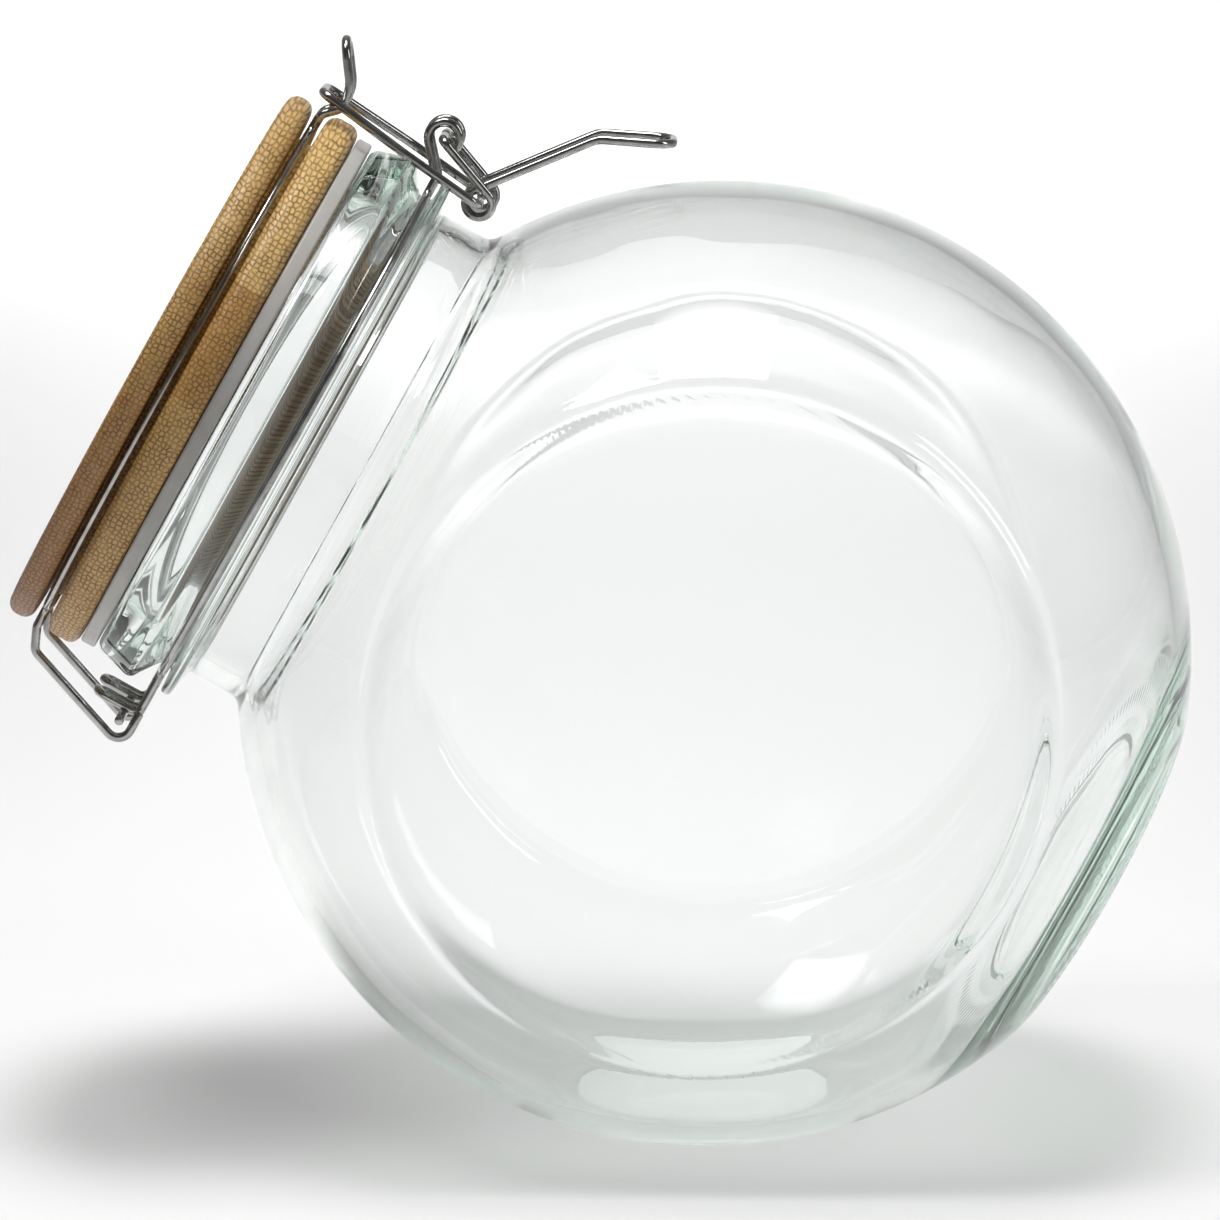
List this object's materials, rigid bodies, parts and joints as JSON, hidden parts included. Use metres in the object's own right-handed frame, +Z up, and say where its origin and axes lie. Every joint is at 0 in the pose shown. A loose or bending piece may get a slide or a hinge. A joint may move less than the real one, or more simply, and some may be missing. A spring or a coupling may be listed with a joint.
{
  "type": "bail clamp jar",
  "caption": "Tilted round glass storage jar with flat side windows, a bamboo lid on a silicone gasket, and a hinged steel wire bail closed by an over-centre toggle lever.",
  "frame": {"origin": "middle of the flat facet that the jar lies on, on the ground", "axes": "+Z up; the mouth faces -X and rises 29 degrees; Y runs across the two side windows; the lever is on top"},
  "size_m": [0.2425, 0.1456, 0.2238],
  "materials": {
    "glass": "clear pressed glass, polished, stippled on the base ring",
    "steel_wire": "bright drawn stainless wire",
    "bamboo": "turned and oiled bamboo, satin",
    "silicone": "translucent grey-white silicone"
  },
  "bodies": {
    "jar": {"glass_jar": "glass", "neck_wire": "steel_wire", "hinge_pin": "steel_wire"},
    "lid": {"bail_wire": "steel_wire", "bamboo_lid": "bamboo", "silicone_gasket": "silicone"},
    "lever": {"toggle_lever": "steel_wire"},
    "link": {"closing_link": "steel_wire"}
  },
  "joints": [
    {"name": "lid_hinge", "type": "hinge", "parent": "jar", "child": "lid", "pos_m": [-0.11978, 0, 0.08416], "axis": [0, -1, 0], "range_deg": [0, 135]},
    {"name": "lever_hinge", "type": "hinge", "parent": "jar", "child": "lever", "pos_m": [-0.05296, 0, 0.20331], "axis": [0, -1, 0], "range_deg": [0, 80]},
    {"name": "link_hinge", "type": "hinge", "parent": "lever", "child": "link", "pos_m": [-0.04577, 0, 0.19035], "axis": [0, -1, 0], "range_deg": [-52, 0]}
  ],
  "couplings": [
    {"joint": "link_hinge", "follows": "lever_hinge", "ratio": -0.644}
  ]
}
